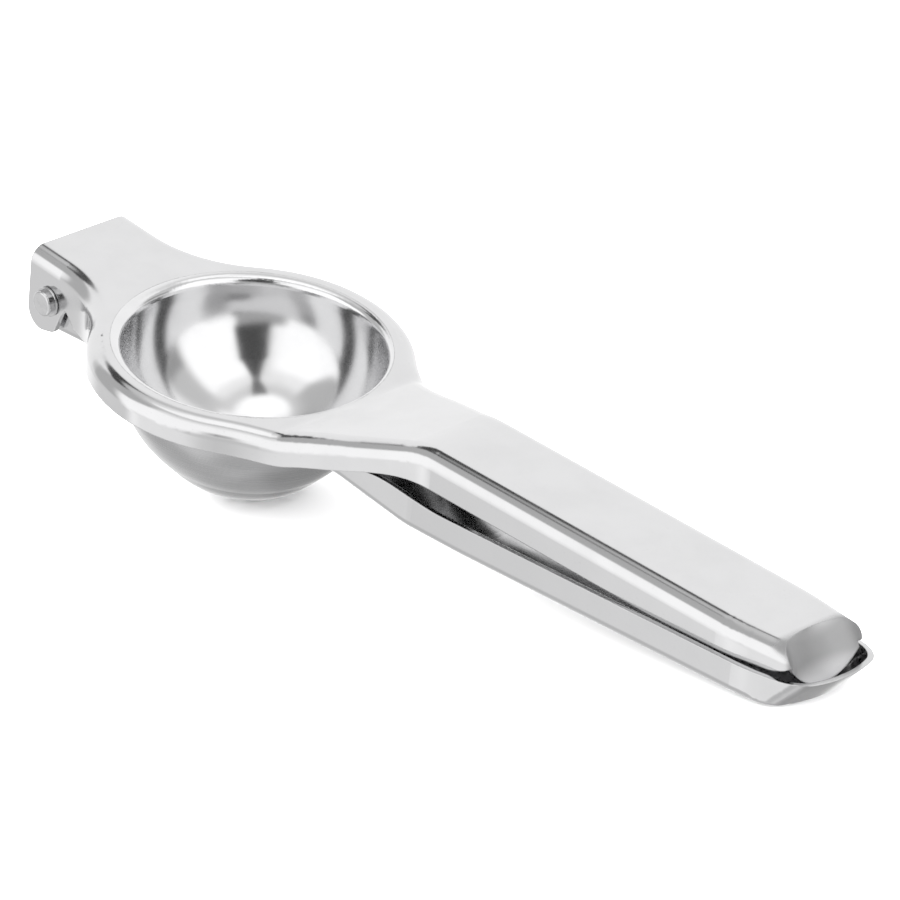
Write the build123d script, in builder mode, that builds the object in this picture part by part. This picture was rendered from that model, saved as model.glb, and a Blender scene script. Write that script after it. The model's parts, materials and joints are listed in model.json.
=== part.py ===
from build123d import *
import math
import os

# Hinged lemon squeezer, closed, lying as it rests on a table: on the round
# bottom of the strainer bowl and on the end of the lower handle.
# +X runs from the hinge to the handle end, +Y is across, +Z is up.
# Units are millimetres.
#
# Both levers are described in the press frame, whose origin is the centre of
# the cup mouth, level with the top of the upper ring. That frame leans by
# rest_lean, handle end down, when the squeezer lies on the table.

# ---------------------------------------------------------------- dimensions
sheet = 1.0                 # lever sheet
bowl_sheet = 0.8            # strainer bowl sheet
cup_sheet = 0.6             # press cup sheet

# upper lever
ring_r = 32.5               # outside of the upper ring skirt
mouth_r = 27.94             # hole in the upper ring
mouth_x = -0.2              # its centre
box_end_x = -53.5           # hinge end
box_half = 12.7             # half width of the hinge box
handle_half = 10.95         # half width of the handle
ramp_x = 28.0               # where the ramp leaves the ring
ramp_slope = 0.34
handle_slope = 0.073
handle_z60 = 10.92          # top of the handle at x = 60
fold_r = 3.3                # outside radius of the folded edges
end_x = 162.3               # end of the handle's sides
dish_x = 160.3              # the dished end: an ellipse leaning outward
dish_a, dish_b = 4.5, 9.6
end_half = 9.4              # half width at the very end
dish_slope = 1.55
dish_z = 18.1

# hinge
pin_x, pin_z = -47.2, -9.4
pin_r = 2.0
running_gap = 0.05          # radial, upper lever on the pin
head_r = 2.65
head_h = 1.5
washer_r = 3.1
washer_h = 0.5
side_gap = 0.1              # upper lever to washer

# lower lever
low_ring_r = 30.8
low_hole_r = 27.7
low_box_half = 11.0
low_box_end_x = -53.1
low_handle_half = 12.3
low_slope = 0.127
low_floor_60 = -7.264       # underside of the handle at x = 60
low_rim_60 = -0.445         # rim of the handle at x = 60
low_ring_floor = -5.6
low_ring_rim = -2.6
front_x = 161.0             # where the floor of the handle turns up
front_slope = 1.25
low_end_r = 21.0            # rounding of the turned-up end, seen from above
low_corner_r = 5.0          # rounding between the sides and the turned-up end
low_ring_x = 0.4            # centre of the lower ring
low_fold_r = 2.0

# strainer bowl and press cup
bowl_x = 0.6                # shared axis of the cup and the bowl
bowl_z1, bowl_r1 = -2.6, 27.3
bowl_z2, bowl_r2 = -8.55, 23.15
bowl_lip_r = 28.2
cup_r = 26.4                # inside radius of the press cup, one round cap
cup_centre_z = 1.5
cup_seam_z = -1.8           # where the cap meets the rolled lip
flange_r = 27.9             # outside of the rolled lip
hole_r = 1.25               # strainer holes
hole_pitch = 4.1

# ------------------------------------------------------------------- resting
# The lean at which the bowl bottom and the fold at the end of the lower handle
# touch the table together.
front_z = low_floor_60 + low_slope * (front_x - 60)
floor_dir = math.atan(low_slope)
front_dir = math.atan(front_slope)
half_turn = (math.pi - (front_dir - floor_dir)) / 2
fold_reach = low_fold_r / math.sin(half_turn)
fold_dir = (floor_dir + math.pi + front_dir) / 2
rest_x = front_x + fold_reach * math.cos(fold_dir)
rest_z = front_z + fold_reach * math.sin(fold_dir)
reach, lift = rest_x - bowl_x, rest_z - bowl_z2
rest_lean = math.asin((bowl_r2 - low_fold_r) / math.hypot(reach, lift)) + math.atan2(lift, reach)

x_shift = -55.236            # puts the origin under the middle of the length
mouth_height = bowl_r2 + bowl_x * math.sin(rest_lean) - bowl_z2 * math.cos(rest_lean)
lean_x = (math.cos(rest_lean), 0, -math.sin(rest_lean))
lean_z = (math.sin(rest_lean), 0, math.cos(rest_lean))
press = Plane(origin=(x_shift, 0, mouth_height), x_dir=lean_x, z_dir=lean_z)
side = Plane(origin=(x_shift, 0, mouth_height), x_dir=lean_x, z_dir=(0, -1, 0))

os.makedirs("parts", exist_ok=True)


def corners(sketch, spots):
    """Vertices of a sketch nearest to each of the spots (x, y)."""
    found = []
    for x, y in spots:
        vertex = min(sketch.vertices(), key=lambda v: math.hypot(v.X - x, v.Y - y))
        if math.hypot(vertex.X - x, vertex.Y - y) < 1.5:
            found.append(vertex)
    return found


def lengthways(solid, low, high):
    """Edges whose height stays between low and high and that don't run straight across."""
    chosen = []
    for edge in solid.edges():
        points = [press.to_local_coords(edge @ t) for t in (0, 0.5, 1)]
        across = abs(points[0].X - points[2].X) < 0.01 and abs(points[0].Y + points[2].Y) < 0.01
        straight = edge.geom_type == GeomType.LINE
        end = points[1].X < -65 or max(p.Z for p in points) > 30 and points[1].X < 150
        if not (across and straight) and not end and all(low < p.Z < high for p in points):
            chosen.append(edge)
    return chosen


def front_corners(solid):
    """Edges where the sides of the lower lever meet its bowed front."""
    chosen = []
    for edge in solid.edges():
        ends = [press.to_local_coords(edge @ t) for t in (0, 1)]
        if min(p.X for p in ends) > 148 and min(abs(p.Y) for p in ends) > 6 and abs(ends[0].Z - ends[1].Z) > 12:
            chosen.append(edge)
    return chosen


# --------------------------------------------------------------- side curves
ramp_end_x = (handle_z60 - handle_slope * 60 + ramp_slope * ramp_x) / (ramp_slope - handle_slope)
ramp_end_z = ramp_slope * (ramp_end_x - ramp_x)


def press_plan(inset):
    """Outline of the upper lever seen from above."""
    neck = [(10, 21.87), (46.5, 14.75), (60.5, handle_half), (147, handle_half), (end_x, end_half)]
    join_x = -math.sqrt(ring_r**2 - box_half**2)
    with BuildSketch(press.offset(-34)) as plan:
        Circle(ring_r)
        with Locations((-35, 0)):
            Rectangle(70, 2 * box_half)
        with BuildLine():
            Polyline((10, 0), *neck, (end_x, 0), close=True)
        make_face()
        with BuildLine():
            Polyline((10, 0), *[(x, -y) for x, y in neck], (end_x, 0), close=True)
        make_face()
        fillet(corners(plan, [(join_x, box_half), (join_x, -box_half)]), 27.0)
        fillet(corners(plan, [(26.6, 18.7), (26.6, -18.7)]), 58.0)
        fillet(corners(plan, [(46.5, 14.75), (46.5, -14.75)]), 40.0)
        fillet(corners(plan, [(60.5, handle_half), (60.5, -handle_half)]), 30.0)
        fillet(corners(plan, [(147, handle_half), (147, -handle_half)]), 80.0)
        fillet(corners(plan, [(end_x, end_half), (end_x, -end_half)]), 3.6)
        if inset:
            offset(amount=-inset, kind=Kind.INTERSECTION, mode=Mode.REPLACE)
    return plan.sketch


def press_side(inset):
    """Profile of the upper lever seen from the side, filled down to z = -40."""
    with BuildSketch(side.offset(-60)) as profile:
        with BuildLine():
            Polyline(
                (-80, -40), (-80, 0), (ramp_x, 0), (ramp_end_x, ramp_end_z),
                (180, handle_z60 + handle_slope * 120), (180, -40), close=True,
            )
        make_face()
        fillet(corners(profile, [(ramp_x, 0)]), 6.0)
        fillet(corners(profile, [(ramp_end_x, ramp_end_z)]), 26.0)
        if inset:
            offset(amount=-inset, kind=Kind.INTERSECTION, mode=Mode.REPLACE)
    return profile.sketch


def press_block(inset, radius):
    """Solid block under the upper lever's surface, with its folds rounded."""
    with BuildPart() as block:
        add(press_plan(inset))
        extrude(amount=70, dir=press.z_dir)
        add(press_side(inset))
        extrude(amount=120, dir=side.z_dir, mode=Mode.INTERSECT)
        fillet(lengthways(block.part, -4, 40), radius)
        # the dished end leans outward as it goes down
        with BuildSketch(press.offset(dish_z + 12)):
            with Locations((dish_x - 12 / dish_slope, 0)):
                Ellipse(dish_a + 1.19 * inset, dish_b + inset)
                with Locations((10, 0)):
                    Rectangle(20, 2 * (dish_b + inset))
        extrude(amount=70, dir=press.x_dir - press.z_dir * dish_slope, mode=Mode.SUBTRACT)
    return block


press_outer = press_block(0, fold_r)
press_inner = press_block(sheet, fold_r - sheet)

with BuildPart() as upper_lever:
    add(press_outer.part)
    add(press_inner.part, mode=Mode.SUBTRACT)
    # skirt edge, ears and hinge end, cut straight across
    with BuildSketch(side.offset(-60)) as skirt_edge:
        with BuildLine():
            Polyline((-38.6, -11.4), (-42.0, -9.0), (-43.4, -11.0), (-45.2, -15.8), (box_end_x, -18.2), (box_end_x, 30), (-90, 30), (-90, -60))
            Line((-90, -60), (154.0, -60))
            Line((154.0, -60), (154.0, 11.55))
            Spline((154.0, 11.55), (149.0, 10.4), (141.0, 9.23), tangents=((-1, -0.26), (-1, -handle_slope)))
            Line((141.0, 9.23), (66.0, 3.76))
            Spline(
                (66.0, 3.76), (57.0, 2.9), (50.0, 1.0), (45.0, -0.9), (40.0, -2.75), (34.0, -4.7), (27.0, -6.0),
                tangents=((-1, -handle_slope), (-1, 0)),
            )
            Line((27.0, -6.0), (-9.0, -6.1))
            Spline((-9.0, -6.1), (-14.0, -6.35), (-20.0, -7.3), (-26.0, -8.9), (-33.0, -10.9), (-38.6, -11.4), tangents=((-1, 0), (-1, 0)))
        make_face()
        fillet(corners(skirt_edge, [(box_end_x, -18.2)]), 4.0)
        fillet(corners(skirt_edge, [(-45.2, -15.8)]), 1.4)
        fillet(corners(skirt_edge, [(-42.0, -9.0), (-43.4, -11.0)]), 0.6)
    extrude(amount=120, dir=side.z_dir, mode=Mode.SUBTRACT)
    # the sides end higher than the rounded tip of the dished end between them
    with BuildSketch(side.offset(8.3), side.offset(-28.3)):
        with BuildLine():
            Spline((153.9, 11.52), (156.5, 12.3), (159.0, 13.35), (161.9, 15.2), tangents=((1, 0.26), (1, 0.75)))
            Polyline((161.9, 15.2), (170, 21.3), (170, -60), (153.9, -60), (153.9, 11.52))
        make_face()
    extrude(amount=20, dir=side.z_dir, mode=Mode.SUBTRACT)
    with BuildSketch(Plane(origin=press.from_local_coords(Vector(153.9, 0, 0)), x_dir=(0, 1, 0), z_dir=lean_x)):
        with BuildLine():
            ThreePointArc((-8.6, 13.7), (0, 9.1), (8.6, 13.7))
            Polyline((8.6, 13.7), (8.6, -60), (-8.6, -60), (-8.6, 13.7))
        make_face()
    extrude(amount=20, mode=Mode.SUBTRACT)
    with BuildSketch(press.offset(-5)):
        with Locations((mouth_x, 0)):
            Circle(mouth_r)
    extrude(amount=10, mode=Mode.SUBTRACT)
    with BuildSketch(side.offset(-60)):
        with Locations((pin_x, pin_z)):
            Circle(pin_r + running_gap)
    extrude(amount=120, dir=side.z_dir, mode=Mode.SUBTRACT)
upper_lever.part.label = "upper_lever"


# -------------------------------------------------------------- lower lever
def strain_plan(inset):
    """Outline of the lower lever seen from above."""
    neck = [(10, 15.6), (40, 12.75), (61, low_handle_half), (153, low_handle_half), (164.2, 10.5), (176, 8.6)]
    join_x = low_ring_x - math.sqrt(low_ring_r**2 - low_box_half**2)
    with BuildSketch(press.offset(-34)) as plan:
        with Locations((low_ring_x, 0)):
            Circle(low_ring_r)
        with Locations((-35, 0)):
            Rectangle(70, 2 * low_box_half)
        with BuildLine():
            Polyline((10, 0), *neck, (176, 0), close=True)
        make_face()
        with BuildLine():
            Polyline((10, 0), *[(x, -y) for x, y in neck], (176, 0), close=True)
        make_face()
        fillet(corners(plan, [(join_x, low_box_half), (join_x, -low_box_half)]), 14.4)
        fillet(corners(plan, [(27.8, 13.9), (27.8, -13.9)]), 10.0)
        fillet(corners(plan, [(40, 12.75), (40, -12.75)]), 40.0)
        fillet(corners(plan, [(61, low_handle_half), (61, -low_handle_half)]), 60.0)
        fillet(corners(plan, [(153, low_handle_half), (153, -low_handle_half)]), 50.0)
        if inset:
            offset(amount=-inset, kind=Kind.INTERSECTION, mode=Mode.REPLACE)
    return plan.sketch


def strain_side(inset):
    """Profile of the lower lever seen from the side, filled up to z = 40."""
    with BuildSketch(side.offset(-60)) as profile:
        with BuildLine():
            Polyline(
                (-80, 40), (-80, -21.4), (-37.0, -15.8), (-31.5, low_ring_floor), (40.0, low_ring_floor),
                (59.5, -6.9), (75.0, low_floor_60 + low_slope * 15), (200, low_floor_60 + low_slope * 140), (200, 40),
                close=True,
            )
        make_face()
        fillet(corners(profile, [(-37.0, -15.8)]), 4.0)
        fillet(corners(profile, [(-31.5, low_ring_floor)]), 2.5)
        fillet(corners(profile, [(40.0, low_ring_floor)]), 14.0)
        fillet(corners(profile, [(59.5, -6.9)]), 22.0)
        fillet(corners(profile, [(75.0, low_floor_60 + low_slope * 15)]), 60.0)
        if inset:
            offset(amount=-inset, kind=Kind.INTERSECTION, mode=Mode.REPLACE)
    return profile.sketch


def strain_block(inset, radius):
    """Solid block over the lower lever's surface, with its folds rounded."""
    set_back = inset / math.sin(front_dir)
    with BuildPart() as block:
        add(strain_plan(inset))
        extrude(amount=70, dir=press.z_dir)
        add(strain_side(inset))
        extrude(amount=120, dir=side.z_dir, mode=Mode.INTERSECT)
        # the bowed front leans outward as it rises
        with BuildSketch(press.offset(-40)):
            with Locations((front_x - set_back - low_end_r - (front_z + 40) / front_slope, 0)):
                Rectangle(400, 100, align=(Align.MAX, Align.CENTER))
                Circle(low_end_r)
        extrude(amount=90 / math.sin(front_dir), dir=press.x_dir + press.z_dir * front_slope, mode=Mode.INTERSECT)
        fillet(front_corners(block.part), low_corner_r - inset)
        fillet(lengthways(block.part, -24, 60), radius)
    return block


strain_outer = strain_block(0, low_fold_r)
strain_inner = strain_block(sheet, low_fold_r - sheet)

with BuildPart() as lower_lever:
    add(strain_outer.part)
    add(strain_inner.part, mode=Mode.SUBTRACT)
    # rim and hinge end, cut straight across
    with BuildSketch(side.offset(-60)) as rim_edge:
        with BuildLine():
            Polyline((29.0, low_ring_rim), (low_box_end_x, low_ring_rim), (low_box_end_x, -60), (-90, -60), (-90, 60), (190, 60))
            Line((190, 60), (190, low_rim_60 + low_slope * 130))
            Line((190, low_rim_60 + low_slope * 130), (70.0, low_rim_60 + low_slope * 10))
            Spline(
                (70.0, low_rim_60 + low_slope * 10), (60.0, 0.45), (51.0, 0.3), (46.0, -0.65), (38.0, -1.9), (29.0, low_ring_rim),
                tangents=((-1, -low_slope), (-1, 0)),
            )
        make_face()
        fillet(corners(rim_edge, [(low_box_end_x, low_ring_rim)]), 4.5)
    extrude(amount=120, dir=side.z_dir, mode=Mode.SUBTRACT)
    with BuildSketch(side.offset(-60)):
        with Locations((low_box_end_x + 4.0, -13.4)):
            Rectangle(10, 10, align=(Align.MAX, Align.MAX))
            Circle(4.0, mode=Mode.SUBTRACT)
    extrude(amount=120, dir=side.z_dir, mode=Mode.SUBTRACT)
    with BuildSketch(press.offset(-12)):
        with Locations((bowl_x, 0)):
            Circle(low_hole_r)
    extrude(amount=8, mode=Mode.SUBTRACT)
    with BuildSketch(side.offset(-60)):
        with Locations((pin_x, pin_z)):
            Circle(pin_r)
    extrude(amount=120, dir=side.z_dir, mode=Mode.SUBTRACT)
lower_lever.part.label = "lower_lever"


# ------------------------------------------------------------ strainer bowl
def sphere_r(radius, centre_z, z):
    """Radius of a sphere's level circle at height z."""
    return math.sqrt(radius**2 - (z - centre_z) ** 2)


def sphere_meet(r1, z1, r2, z2):
    """Height at which two spheres on the same axis meet."""
    return ((r1**2 - r2**2) / (z2 - z1) + z1 + z2) / 2


def sphere_mid(radius, centre_z, z_a, z_b):
    """A point of a sphere's profile between heights z_a and z_b."""
    a = math.atan2(z_a - centre_z, sphere_r(radius, centre_z, z_a))
    b = math.atan2(z_b - centre_z, sphere_r(radius, centre_z, z_b))
    m = (a + b) / 2
    return (radius * math.cos(m), centre_z + radius * math.sin(m))


neck_z = low_ring_floor
seat_z = low_ring_floor + sheet
inner_r1, inner_r2 = bowl_r1 - bowl_sheet, bowl_r2 - bowl_sheet
kink_out = sphere_meet(bowl_r1, bowl_z1, bowl_r2, bowl_z2)
kink_in = sphere_meet(inner_r1, bowl_z1, inner_r2, bowl_z2)
bowl_axis = Plane(origin=press.from_local_coords(Vector(bowl_x, 0, 0)), x_dir=lean_x, z_dir=(0, -1, 0))

with BuildPart() as strainer_bowl:
    with BuildSketch(bowl_axis):
        with BuildLine():
            Polyline((0, bowl_z2 - bowl_r2), (0, bowl_z2 - inner_r2))
            ThreePointArc(
                (0, bowl_z2 - inner_r2),
                (inner_r2 * math.sin(0.4), bowl_z2 - inner_r2 * math.cos(0.4)),
                (sphere_r(inner_r2, bowl_z2, kink_in), kink_in),
            )
            ThreePointArc(
                (sphere_r(inner_r2, bowl_z2, kink_in), kink_in),
                sphere_mid(inner_r1, bowl_z1, kink_in, neck_z),
                (sphere_r(inner_r1, bowl_z1, neck_z), neck_z),
            )
            Line((sphere_r(inner_r1, bowl_z1, neck_z), neck_z), (26.42, seat_z - 0.45))
            ThreePointArc((26.42, seat_z - 0.45), (26.786, seat_z + 0.434), (27.67, seat_z + bowl_sheet))
            Polyline((27.67, seat_z + bowl_sheet), (bowl_lip_r, seat_z + bowl_sheet), (bowl_lip_r, seat_z), (27.67, seat_z))
            ThreePointArc((27.67, seat_z), (27.352, seat_z - 0.132), (27.22, seat_z - 0.45))
            Line((27.22, seat_z - 0.45), (sphere_r(bowl_r1, bowl_z1, neck_z), neck_z))
            ThreePointArc(
                (sphere_r(bowl_r1, bowl_z1, neck_z), neck_z),
                sphere_mid(bowl_r1, bowl_z1, kink_out, neck_z),
                (sphere_r(bowl_r1, bowl_z1, kink_out), kink_out),
            )
            ThreePointArc(
                (sphere_r(bowl_r1, bowl_z1, kink_out), kink_out),
                (bowl_r2 * math.sin(0.4), bowl_z2 - bowl_r2 * math.cos(0.4)),
                (0, bowl_z2 - bowl_r2),
            )
        make_face()
    revolve(axis=Axis(bowl_axis.origin, lean_z))
    with BuildSketch(press.offset(-45)):
        with Locations((bowl_x, 0)):
            Circle(hole_r)
            for row in (1, 2, 3):
                with PolarLocations(row * hole_pitch, 6 * row):
                    Circle(hole_r)
    extrude(amount=30, mode=Mode.SUBTRACT)
strainer_bowl.part.label = "strainer_bowl"

# ---------------------------------------------------------------- press cup
seam_in = sphere_r(cup_r, cup_centre_z, cup_seam_z)
seam_out = sphere_r(cup_r + cup_sheet, cup_centre_z, cup_seam_z)
# the lip rolls from the flat of the ring down to the seam: depth, and how far it has come in of the whole way
lip_roll = ((0.0, 0.0), (0.1, 0.36), (0.34, 0.64), (0.74, 0.84), (1.24, 0.945), (-cup_seam_z, 1.0))

with BuildPart() as lip_inside:
    for depth, way in lip_roll:
        with BuildSketch(press.offset(-depth)):
            with Locations((mouth_x + (bowl_x - mouth_x) * way, 0)):
                Circle(flange_r + (seam_in - flange_r) * way)
    loft()

with BuildPart() as press_cup:
    with BuildSketch(press.offset(-cup_sheet)):
        with Locations((mouth_x, 0)):
            Circle(flange_r)
    with BuildSketch(press.offset(cup_seam_z)):
        with Locations((bowl_x, 0)):
            Circle(seam_out)
    loft(ruled=True)
    with BuildSketch(press.offset(-cup_sheet)):
        with Locations((mouth_x, 0)):
            Circle(flange_r)
    extrude(amount=cup_sheet, dir=press.z_dir)
    add(lip_inside.part, mode=Mode.SUBTRACT)
    with BuildSketch(bowl_axis):
        with BuildLine():
            Line((0, cup_centre_z - cup_r - cup_sheet), (0, cup_centre_z - cup_r))
            ThreePointArc((0, cup_centre_z - cup_r), (cup_r * math.sin(0.7), cup_centre_z - cup_r * math.cos(0.7)), (seam_in, cup_seam_z))
            Line((seam_in, cup_seam_z), (seam_out, cup_seam_z))
            ThreePointArc(
                (seam_out, cup_seam_z),
                ((cup_r + cup_sheet) * math.sin(0.7), cup_centre_z - (cup_r + cup_sheet) * math.cos(0.7)),
                (0, cup_centre_z - cup_r - cup_sheet),
            )
        make_face()
    revolve(axis=Axis(bowl_axis.origin, lean_z))
press_cup.part.label = "press_cup"

# -------------------------------------------------------------------- hinge
washer_in = box_half + side_gap
washer_out = washer_in + washer_h
pin_axis = Plane(origin=press.from_local_coords(Vector(pin_x, 0, pin_z)), x_dir=lean_x, z_dir=(0, -1, 0))

with BuildPart() as hinge_rivet:
    with BuildSketch(pin_axis.offset(-washer_out)):
        Circle(pin_r)
    extrude(amount=2 * washer_out)
    with BuildSketch(pin_axis.offset(washer_out), pin_axis.offset(-washer_out - head_h)):
        Circle(head_r)
    extrude(amount=head_h, dir=pin_axis.z_dir)
    rims = hinge_rivet.edges().filter_by(GeomType.CIRCLE).group_by(Axis.Y)
    fillet(rims[0] + rims[-1], 0.45)
hinge_rivet.part.label = "hinge_rivet"

with BuildPart() as near_washer:
    with BuildSketch(pin_axis.offset(washer_in)):
        Circle(washer_r)
        Circle(pin_r, mode=Mode.SUBTRACT)
    extrude(amount=washer_h)
    chamfer(near_washer.edges().filter_by(GeomType.CIRCLE).sort_by(SortBy.RADIUS)[-2:], 0.12)
near_washer.part.label = "near_washer"

with BuildPart() as far_washer:
    with BuildSketch(pin_axis.offset(-washer_out)):
        Circle(washer_r)
        Circle(pin_r, mode=Mode.SUBTRACT)
    extrude(amount=washer_h)
    chamfer(far_washer.edges().filter_by(GeomType.CIRCLE).sort_by(SortBy.RADIUS)[-2:], 0.12)
far_washer.part.label = "far_washer"

# ------------------------------------------------------------------- export
export_step(upper_lever.part, "parts/upper_lever.step")
export_step(press_cup.part, "parts/press_cup.step")
export_step(lower_lever.part, "parts/lower_lever.step")
export_step(strainer_bowl.part, "parts/strainer_bowl.step")
export_step(hinge_rivet.part, "parts/hinge_rivet.step")
export_step(near_washer.part, "parts/near_washer.step")
export_step(far_washer.part, "parts/far_washer.step")
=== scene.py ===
import json
import math

import bpy
from mathutils import Matrix, Vector

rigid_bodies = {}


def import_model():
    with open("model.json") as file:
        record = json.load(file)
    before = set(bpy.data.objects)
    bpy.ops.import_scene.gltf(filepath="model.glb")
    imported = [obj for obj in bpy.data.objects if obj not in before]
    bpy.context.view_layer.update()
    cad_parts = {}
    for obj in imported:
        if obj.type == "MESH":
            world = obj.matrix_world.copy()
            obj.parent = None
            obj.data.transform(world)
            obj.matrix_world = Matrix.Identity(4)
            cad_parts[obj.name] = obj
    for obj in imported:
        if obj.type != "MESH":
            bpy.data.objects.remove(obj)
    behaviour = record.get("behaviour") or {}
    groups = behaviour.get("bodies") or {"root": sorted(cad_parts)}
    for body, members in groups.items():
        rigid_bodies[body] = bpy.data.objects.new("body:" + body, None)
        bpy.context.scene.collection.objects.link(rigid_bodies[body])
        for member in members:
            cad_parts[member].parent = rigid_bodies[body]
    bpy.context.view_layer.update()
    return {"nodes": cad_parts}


# Hinged lemon squeezer, closed. Metres, +X from the hinge to the handle ends, +Y across, +Z up.

for left_over in list(bpy.data.objects):
    bpy.data.objects.remove(left_over)

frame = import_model()
nodes = frame["nodes"]
scene = bpy.context.scene

# The press frame: its origin is the centre of the cup mouth, its Z is the cup's axis. It leans by LEAN about Y.
LEAN = math.radians(13.32125)
MOUTH = Vector((-0.055236, 0.0, 0.031608))
PRESS = Matrix.Translation(MOUTH) @ Matrix.Rotation(LEAN, 4, "Y")
BOWL_X = 0.0006
PIN = Vector((-0.0472, 0.0, -0.0094))


# ------------------------------------------------------------------ camera
cam_data = bpy.data.cameras.new("camera")
cam_data.sensor_width = 36.0
cam_data.lens = 306.106
cam_data.clip_start, cam_data.clip_end = 0.05, 60.0
cam_data.dof.use_dof = False
camera = bpy.data.objects.new("camera", cam_data)
scene.collection.objects.link(camera)
right = Vector((0.65985692, 0.74781452, -0.07322765))
up = Vector((-0.2294805, 0.29336573, 0.92804916))
back = Vector((0.71549112, -0.59557535, 0.36518826))
camera.matrix_world = Matrix.Translation((1.04779817, -0.87022717, 0.55706385)) @ Matrix(
    ((right.x, up.x, back.x), (right.y, up.y, back.y), (right.z, up.z, back.z))
).to_4x4()
scene.camera = camera


# ------------------------------------------------------------ node helpers
class Tree:
    """Small helper for building node trees."""

    def __init__(self, tree):
        self.tree = tree
        tree.nodes.clear()

    def node(self, kind, **settings):
        made = self.tree.nodes.new(kind)
        for key, value in settings.items():
            setattr(made, key, value)
        return made

    def link(self, a, b):
        self.tree.links.new(a, b)

    def math(self, operation, *values, clamp=False):
        made = self.node("ShaderNodeMath", operation=operation, use_clamp=clamp)
        for socket, value in zip(made.inputs, values):
            if isinstance(value, bpy.types.NodeSocket):
                self.link(value, socket)
            else:
                socket.default_value = value
        return made.outputs[0]

    def step(self, value, low, high):
        """0 below low, 1 above high, smooth between; falls the other way when high is below low."""
        made = self.node("ShaderNodeMapRange", interpolation_type="SMOOTHSTEP")
        self.link(value, made.inputs["Value"])
        a, b, c, d = (low, high, 0.0, 1.0) if low < high else (high, low, 1.0, 0.0)
        for name, v in (("From Min", a), ("From Max", b), ("To Min", c), ("To Max", d)):
            made.inputs[name].default_value = v
        return made.outputs["Result"]

    def lerp(self, a, b, t):
        made = self.node("ShaderNodeMix", data_type="FLOAT")
        for socket, value in zip((made.inputs[0], made.inputs[2], made.inputs[3]), (t, a, b)):
            if isinstance(value, bpy.types.NodeSocket):
                self.link(value, socket)
            else:
                socket.default_value = value
        return made.outputs[0]


# ------------------------------------------------------------------ studio
# The studio is all in the world: a white sweep behind, two large soft boxes in front, left and right of the camera,
# a third overhead, darker gaps between them, and a plain white surround that lights the floor. Angles are degrees
# round from the camera's side of the object (to the left is minus) and above the horizon. Each light runs from its
# lower edge to its upper edge, and its left and right edges may lean.
SWEEP = ((-90, 0.68), (-62, 0.72), (-42, 0.95), (-28, 1.25), (-12, 1.2), (46, 1.2), (58, 0.8), (66, 0.82), (74, 1.1))
STUDIO = (
    # lower and upper edge, softness | left edge at the bottom and top, softness | right edge likewise | brightness
    ((70, 110, 5), (-112, -112, 24), (100, 100, 20), 1.5),      # overhead box
    ((79, 110, 5), (-400, -400, 1), (400, 400, 1), 1.48),
    ((59, 72, 6), (92, 92, 10), (150, 150, 14), 1.42),          # its far corner
    ((47, 61, 10), (-78, -70, 20), (80, 72, 20), 1.16),         # haze above the front boxes
    ((-90, -8, 14), (-140, -140, 20), (-88, -88, 16), 0.90),    # left gap: lighter below, dark above
    ((-70, -27, 16), (-140, -140, 20), (-98, -98, 14), 0.72),
    ((-90, -36, 12), (95, 95, 60), (400, 400, 1), 0.46),        # shade under the object
    ((-90, -44, 12), (-400, -400, 1), (-150, -150, 40), 0.60),
    ((-8, 62, 14), (-130, -130, 12), (-70, -70, 14), 0.62),
    ((49, 59, 3), (-177, -177, 8), (-122, -118, 10), 0.07),     # gap between the sweep and the ceiling
    ((-60, 32, 8), (-97, -97, 12), (-19, -18, 14), 1.44),       # left box, its top corner cut off
    ((28, 49, 8), (-93, -70, 14), (-18, -17, 14), 1.44),
    ((-60, -13, 10), (-92, -92, 12), (-24, -24, 14), 1.16),     # and the table below it
    ((-90, -9, 12), (-45, -45, 30), (22, 22, 24), 0.80),        # table in front
    ((-7, 51, 7), (14, 14, 9), (69, 74, 14), 1.46),             # right box
    ((-30, 56, 14), (74, 74, 12), (104, 104, 14), 0.72),        # right gap
    ((4, 21, 8), (76, 76, 8), (100, 100, 10), 0.42),
    ((-8, 10, 7), (-32, -26, 12), (17, 17, 8), 0.47),           # the camera's side: dark, narrower higher up
    ((7, 37, 6), (-13, -10, 8), (19, 20, 6), 0.09),
    ((34, 57, 3), (-10, 1, 6), (20, 9, 5), 0.08),
    ((54, 60, 4), (1, 0, 5), (11, 12, 5), 0.26),
    ((57, 70, 4), (0, -15, 5), (12, 20, 5), 0.16),
)
CAMERA_SIDE = math.radians(-129.774)

world = bpy.data.worlds.new("studio")
scene.world = world
world.use_nodes = True
world.cycles.sampling_method = "NONE"
w = Tree(world.node_tree)
coordinates = w.node("ShaderNodeTexCoord")
axes = w.node("ShaderNodeSeparateXYZ")
w.link(coordinates.outputs["Generated"], axes.inputs[0])
x, y, z = axes.outputs
ca, sa = math.cos(CAMERA_SIDE), math.sin(CAMERA_SIDE)
across = w.math("SUBTRACT", w.math("MULTIPLY", x, -ca), w.math("MULTIPLY", y, sa))
toward = w.math("SUBTRACT", w.math("MULTIPLY", y, ca), w.math("MULTIPLY", x, sa))
turn = w.math("MULTIPLY", w.math("ARCTAN2", across, toward), 180 / math.pi)
rise = w.math("MULTIPLY", w.math("ARCSINE", z), 180 / math.pi)
glow = SWEEP[0][1]
for (low, _), (high, value) in zip(SWEEP, SWEEP[1:]):
    glow = w.lerp(glow, value, w.step(rise, low, high))


def edge(low, high, bottom, top):
    """A light's left or right edge: straight from its bottom to its top."""
    if bottom == top:
        return float(bottom)
    slope = (top - bottom) / (high - low)
    return w.math("MULTIPLY_ADD", rise, slope, bottom - slope * low)


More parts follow.
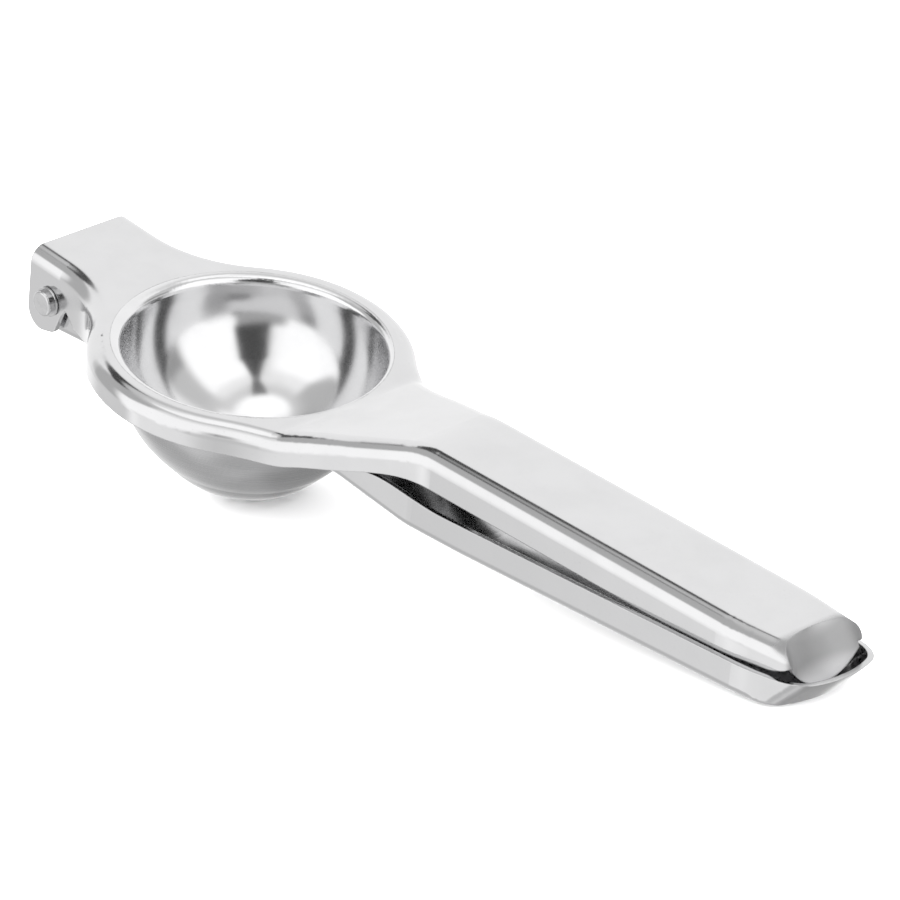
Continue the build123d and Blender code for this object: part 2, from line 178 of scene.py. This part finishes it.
for (low, high, soft), (l0, l1, ls), (r0, r1, rs), value in STUDIO:
    mask = w.math("MULTIPLY", w.step(rise, low - soft / 2, low + soft / 2), w.step(rise, high + soft / 2, high - soft / 2))
    if l0 > -400:
        inside = w.step(w.math("SUBTRACT", turn, edge(low, high, l0, l1)), -ls / 2, ls / 2)
        mask = w.math("MULTIPLY", mask, inside)
    if r0 < 400:
        inside = w.step(w.math("SUBTRACT", turn, edge(low, high, r0, r1)), rs / 2, -rs / 2)
        mask = w.math("MULTIPLY", mask, inside)
    glow = w.lerp(glow, value, mask)
studio_light = w.node("ShaderNodeBackground")
w.link(glow, studio_light.inputs["Color"])
surround = w.node("ShaderNodeBackground")
surround.inputs["Color"].default_value = (1, 1, 1, 1)
surround.inputs["Strength"].default_value = 4.0
ray = w.node("ShaderNodeLightPath")
mixed = w.node("ShaderNodeMixShader")
w.link(ray.outputs["Is Glossy Ray"], mixed.inputs[0])
w.link(surround.outputs[0], mixed.inputs[1])
w.link(studio_light.outputs[0], mixed.inputs[2])
out = w.node("ShaderNodeOutputWorld")
w.link(mixed.outputs[0], out.inputs[0])

# light runs on between the folded sheets, as it does between real polished ones
scene.cycles.max_bounces = 16
scene.cycles.glossy_bounces = 12

scene.view_settings.view_transform = "Standard"
scene.view_settings.look = "None"
scene.view_settings.exposure = 0.0
scene.view_settings.gamma = 1.0

floor_mesh = bpy.data.meshes.new("floor")
floor_mesh.from_pydata(
    [(-20, -20, -0.00005), (20, -20, -0.00005), (20, 20, -0.00005), (-20, 20, -0.00005)], [], [(0, 1, 2, 3)]
)
floor = bpy.data.objects.new("floor", floor_mesh)
scene.collection.objects.link(floor)
floor.visible_glossy = False
floor_material = bpy.data.materials.new("floor_matte")
floor_material.use_nodes = True
f = Tree(floor_material.node_tree)
paint = f.node("ShaderNodeBsdfDiffuse")
paint.inputs["Color"].default_value = (0.9, 0.9, 0.9, 1)
f.link(paint.outputs[0], f.node("ShaderNodeOutputMaterial").inputs[0])
floor_mesh.materials.append(floor_material)


# --------------------------------------------------------------- materials
# Every material reads the object's own coordinates, turned into the press frame, so it stays put when a lever swings.
class Metal(Tree):
    def __init__(self, name, colour, roughness):
        self.material = bpy.data.materials.new(name)
        self.material.use_nodes = True
        super().__init__(self.material.node_tree)
        self.surface = self.node("ShaderNodeBsdfPrincipled")
        self.surface.inputs["Metallic"].default_value = 1.0
        self.link(self.surface.outputs[0], self.node("ShaderNodeOutputMaterial").inputs[0])
        self.colour = colour
        self.roughness = roughness
        self.tone = 1.0
        self.height = None
        self.edge = 0.0
        spot = self.node("ShaderNodeTexCoord")
        turned = self.node("ShaderNodeMapping", vector_type="POINT")
        self.link(spot.outputs["Object"], turned.inputs["Vector"])
        turned.inputs["Rotation"].default_value = (0, -LEAN, 0)
        turned.inputs["Location"].default_value = -(Matrix.Rotation(-LEAN, 3, "Y") @ MOUTH)
        self.place = turned.outputs[0]
        self.axes = self.node("ShaderNodeSeparateXYZ")
        self.link(self.place, self.axes.inputs[0])

    def stretched(self, x, y, z):
        made = self.node("ShaderNodeMapping", vector_type="POINT")
        self.link(self.place, made.inputs["Vector"])
        made.inputs["Scale"].default_value = (x, y, z)
        return made.outputs[0]

    def noise(self, vector, scale, detail=2.0, rough=0.5, distort=0.0):
        made = self.node("ShaderNodeTexNoise")
        self.link(vector, made.inputs["Vector"])
        made.inputs["Scale"].default_value = scale
        made.inputs["Detail"].default_value = detail
        made.inputs["Roughness"].default_value = rough
        made.inputs["Distortion"].default_value = distort
        return made.outputs[0]

    def line_noise(self, value, scale, detail=3.0, rough=0.6):
        made = self.node("ShaderNodeTexNoise", noise_dimensions="1D")
        self.link(value, made.inputs["W"])
        made.inputs["Scale"].default_value = scale
        made.inputs["Detail"].default_value = detail
        made.inputs["Roughness"].default_value = rough
        return made.outputs[0]

    def around(self, x, z=None):
        """Distance from the press axis through x (or, with z, from the cross axis through x, z)."""
        a = self.math("SUBTRACT", self.axes.outputs[0], x)
        b = self.axes.outputs[1] if z is None else self.math("SUBTRACT", self.axes.outputs[2], z)
        return self.math("SQRT", self.math("ADD", self.math("MULTIPLY", a, a), self.math("MULTIPLY", b, b)))

    def raise_by(self, value, metres):
        """Adds value (0 to 1) times metres to the relief."""
        high = self.math("MULTIPLY", value, metres)
        self.height = high if self.height is None else self.math("ADD", self.height, high)

    def shade(self, value, low, high):
        """Multiplies the colour by low where value is 0 and high where it is 1."""
        self.tone = self.math("MULTIPLY", self.tone, self.lerp(low, high, value))

    def roughen(self, value, low, high):
        """Adds from low to high to the roughness."""
        self.roughness = self.math("ADD", self.roughness, self.lerp(low, high, value))

    def done(self):
        made = self.node("ShaderNodeCombineColor")
        for socket, part in zip(made.inputs, self.colour):
            self.link(self.math("MULTIPLY", self.tone, part), socket)
        self.link(made.outputs[0], self.surface.inputs["Base Color"])
        self.link(self.math("MAXIMUM", self.roughness, 0.02), self.surface.inputs["Roughness"])
        bump = self.node("ShaderNodeBump")
        bump.inputs["Strength"].default_value = 1.0
        bump.inputs["Distance"].default_value = 1.0
        self.link(self.height, bump.inputs["Height"])
        if self.edge:
            rounded = self.node("ShaderNodeBevel", samples=4)
            rounded.inputs["Radius"].default_value = self.edge
            self.link(rounded.outputs[0], bump.inputs["Normal"])
        self.link(bump.outputs[0], self.surface.inputs["Normal"])
        return self.material


def lever_steel(name, colour, roughness, wave, seed, dull_and_painted_shade):
    """Pressed and polished sheet: faintly wavy, lightly pitted, with fine polishing lines along the lever, and
    rougher by the given amount at the dished end, where the buffing wheel doesn't reach. There the colour also
    carries
    painted shade and painted light: darker at the top of the dish and lighter towards its tip, by the same amount."""
    m = Metal(name, colour, roughness)
    m.edge = 0.00035
    slow = m.noise(m.stretched(0.6, 1.0, 1.0), 38.0 + seed, 1.0, 0.4)
    m.raise_by(slow, wave)
    peel = m.noise(m.place, 520.0 + 10 * seed, 2.0, 0.5)
    m.raise_by(peel, 1.1e-6)
    pits = m.noise(m.place, 2600.0 + 10 * seed, 1.0, 0.5)
    m.raise_by(m.step(pits, 0.70, 0.78), -0.5e-6)
    lines = m.noise(m.stretched(0.02, 1.0, 1.0), 2300.0, 3.0, 0.6, 0.2)
    m.raise_by(lines, 0.35e-6)
    cloud = m.noise(m.place, 90.0 + seed, 3.0, 0.55)
    m.roughen(m.step(cloud, 0.35, 0.7), -0.015, 0.035)
    m.roughen(lines, -0.02, 0.02)
    off_centre = m.math("ABSOLUTE", m.axes.outputs[1])
    far_end = m.math("MULTIPLY", m.step(m.axes.outputs[0], 0.1545, 0.1575), m.step(off_centre, 0.0097, 0.0090))
    m.roughen(far_end, 0.0, dull_and_painted_shade)
    # painted shade and painted light on the dished end: darker at its top, lighter towards its tip, standing in for
    # the curved dish's reflection
    tip_painted_light = m.step(m.axes.outputs[2], 0.0135, 0.0095)
    m.tone = m.math("MULTIPLY", m.tone, m.lerp(1.0, m.lerp(1.0 - dull_and_painted_shade, 1.0 + dull_and_painted_shade, tip_painted_light), far_end))
    m.shade(m.step(cloud, 0.3, 0.75), 1.015, 0.975)
    m.shade(m.step(pits, 0.70, 0.78), 1.0, 0.93)
    return m.done()


def cup_steel():
    """Drawn and buffed cup: mirror bright, with faint spin lines round its axis and a soft haze low down."""
    m = Metal("cup_mirror_steel", (0.71, 0.71, 0.715), 0.135)
    radius = m.around(BOWL_X)
    rings = m.line_noise(m.math("ADD", radius, m.math("MULTIPLY", m.axes.outputs[2], -0.7)), 1500.0, 3.0, 0.6)
    m.raise_by(rings, 0.25e-6)
    m.raise_by(m.noise(m.place, 70.0, 1.0, 0.4), 14e-6)
    m.raise_by(m.noise(m.place, 620.0, 2.0, 0.5), 0.5e-6)
    cloud = m.noise(m.place, 120.0, 3.0, 0.55)
    m.roughen(m.step(cloud, 0.35, 0.7), -0.01, 0.03)
    m.roughen(m.step(m.axes.outputs[2], -0.016, -0.0245), 0.0, 0.04)
    m.shade(m.step(cloud, 0.3, 0.75), 1.01, 0.975)
    return m.done()


def bowl_steel():
    """Strainer bowl: satin, brushed round its axis."""
    m = Metal("bowl_satin_steel", (0.47, 0.47, 0.475), 0.27)
    level = m.math("ADD", m.axes.outputs[2], m.math("MULTIPLY", m.noise(m.place, 22.0, 1.0, 0.5), 0.0006))
    fine = m.line_noise(level, 5200.0, 3.0, 0.7)
    broad = m.line_noise(level, 700.0, 2.0, 0.5)
    grain = m.noise(m.stretched(0.25, 0.25, 1.0), 3200.0, 2.0, 0.6)
    m.raise_by(fine, 4.0e-6)
    m.raise_by(broad, 6.0e-6)
    m.raise_by(grain, 2.0e-6)
    m.roughen(fine, -0.06, 0.06)
    m.shade(fine, 0.90, 1.10)
    m.shade(broad, 0.93, 1.07)
    m.shade(m.step(m.noise(m.place, 60.0, 3.0, 0.6), 0.3, 0.7), 0.96, 1.04)
    return m.done()


def turned_steel(name, colour, roughness, pitch):
    """Rivet and washers: turned, with rings round the pin, a little worn and pitted."""
    m = Metal(name, colour, roughness)
    rings = m.line_noise(m.around(PIN.x, PIN.z), pitch, 2.0, 0.6)
    m.raise_by(rings, 1.2e-6)
    m.raise_by(m.noise(m.place, 420.0, 2.0, 0.5), 12e-6)
    m.raise_by(m.noise(m.place, 1500.0, 2.0, 0.5), 2.5e-6)
    wear = m.noise(m.place, 800.0, 3.0, 0.6)
    m.roughen(m.step(wear, 0.4, 0.65), -0.03, 0.08)
    m.shade(m.step(wear, 0.4, 0.7), 1.03, 0.9)
    m.shade(rings, 0.94, 1.05)
    return m.done()


upper = lever_steel("upper_polished_steel", (0.63, 0.63, 0.635), 0.115, 26e-6, 0.0, 0.36)
lower = lever_steel("lower_polished_steel", (0.60, 0.60, 0.605), 0.13, 26e-6, 3.0, 0.05)
for node, material in (
    ("upper_lever", upper),
    ("press_cup", cup_steel()),
    ("lower_lever", lower),
    ("strainer_bowl", bowl_steel()),
    ("hinge_rivet", turned_steel("rivet_turned_steel", (0.60, 0.60, 0.605), 0.16, 2600.0)),
    ("near_washer", turned_steel("washer_steel", (0.55, 0.55, 0.555), 0.20, 3600.0)),
    ("far_washer", turned_steel("washer_steel_far", (0.55, 0.55, 0.555), 0.20, 3600.0)),
):
    nodes[node].material_slots[0].material = material
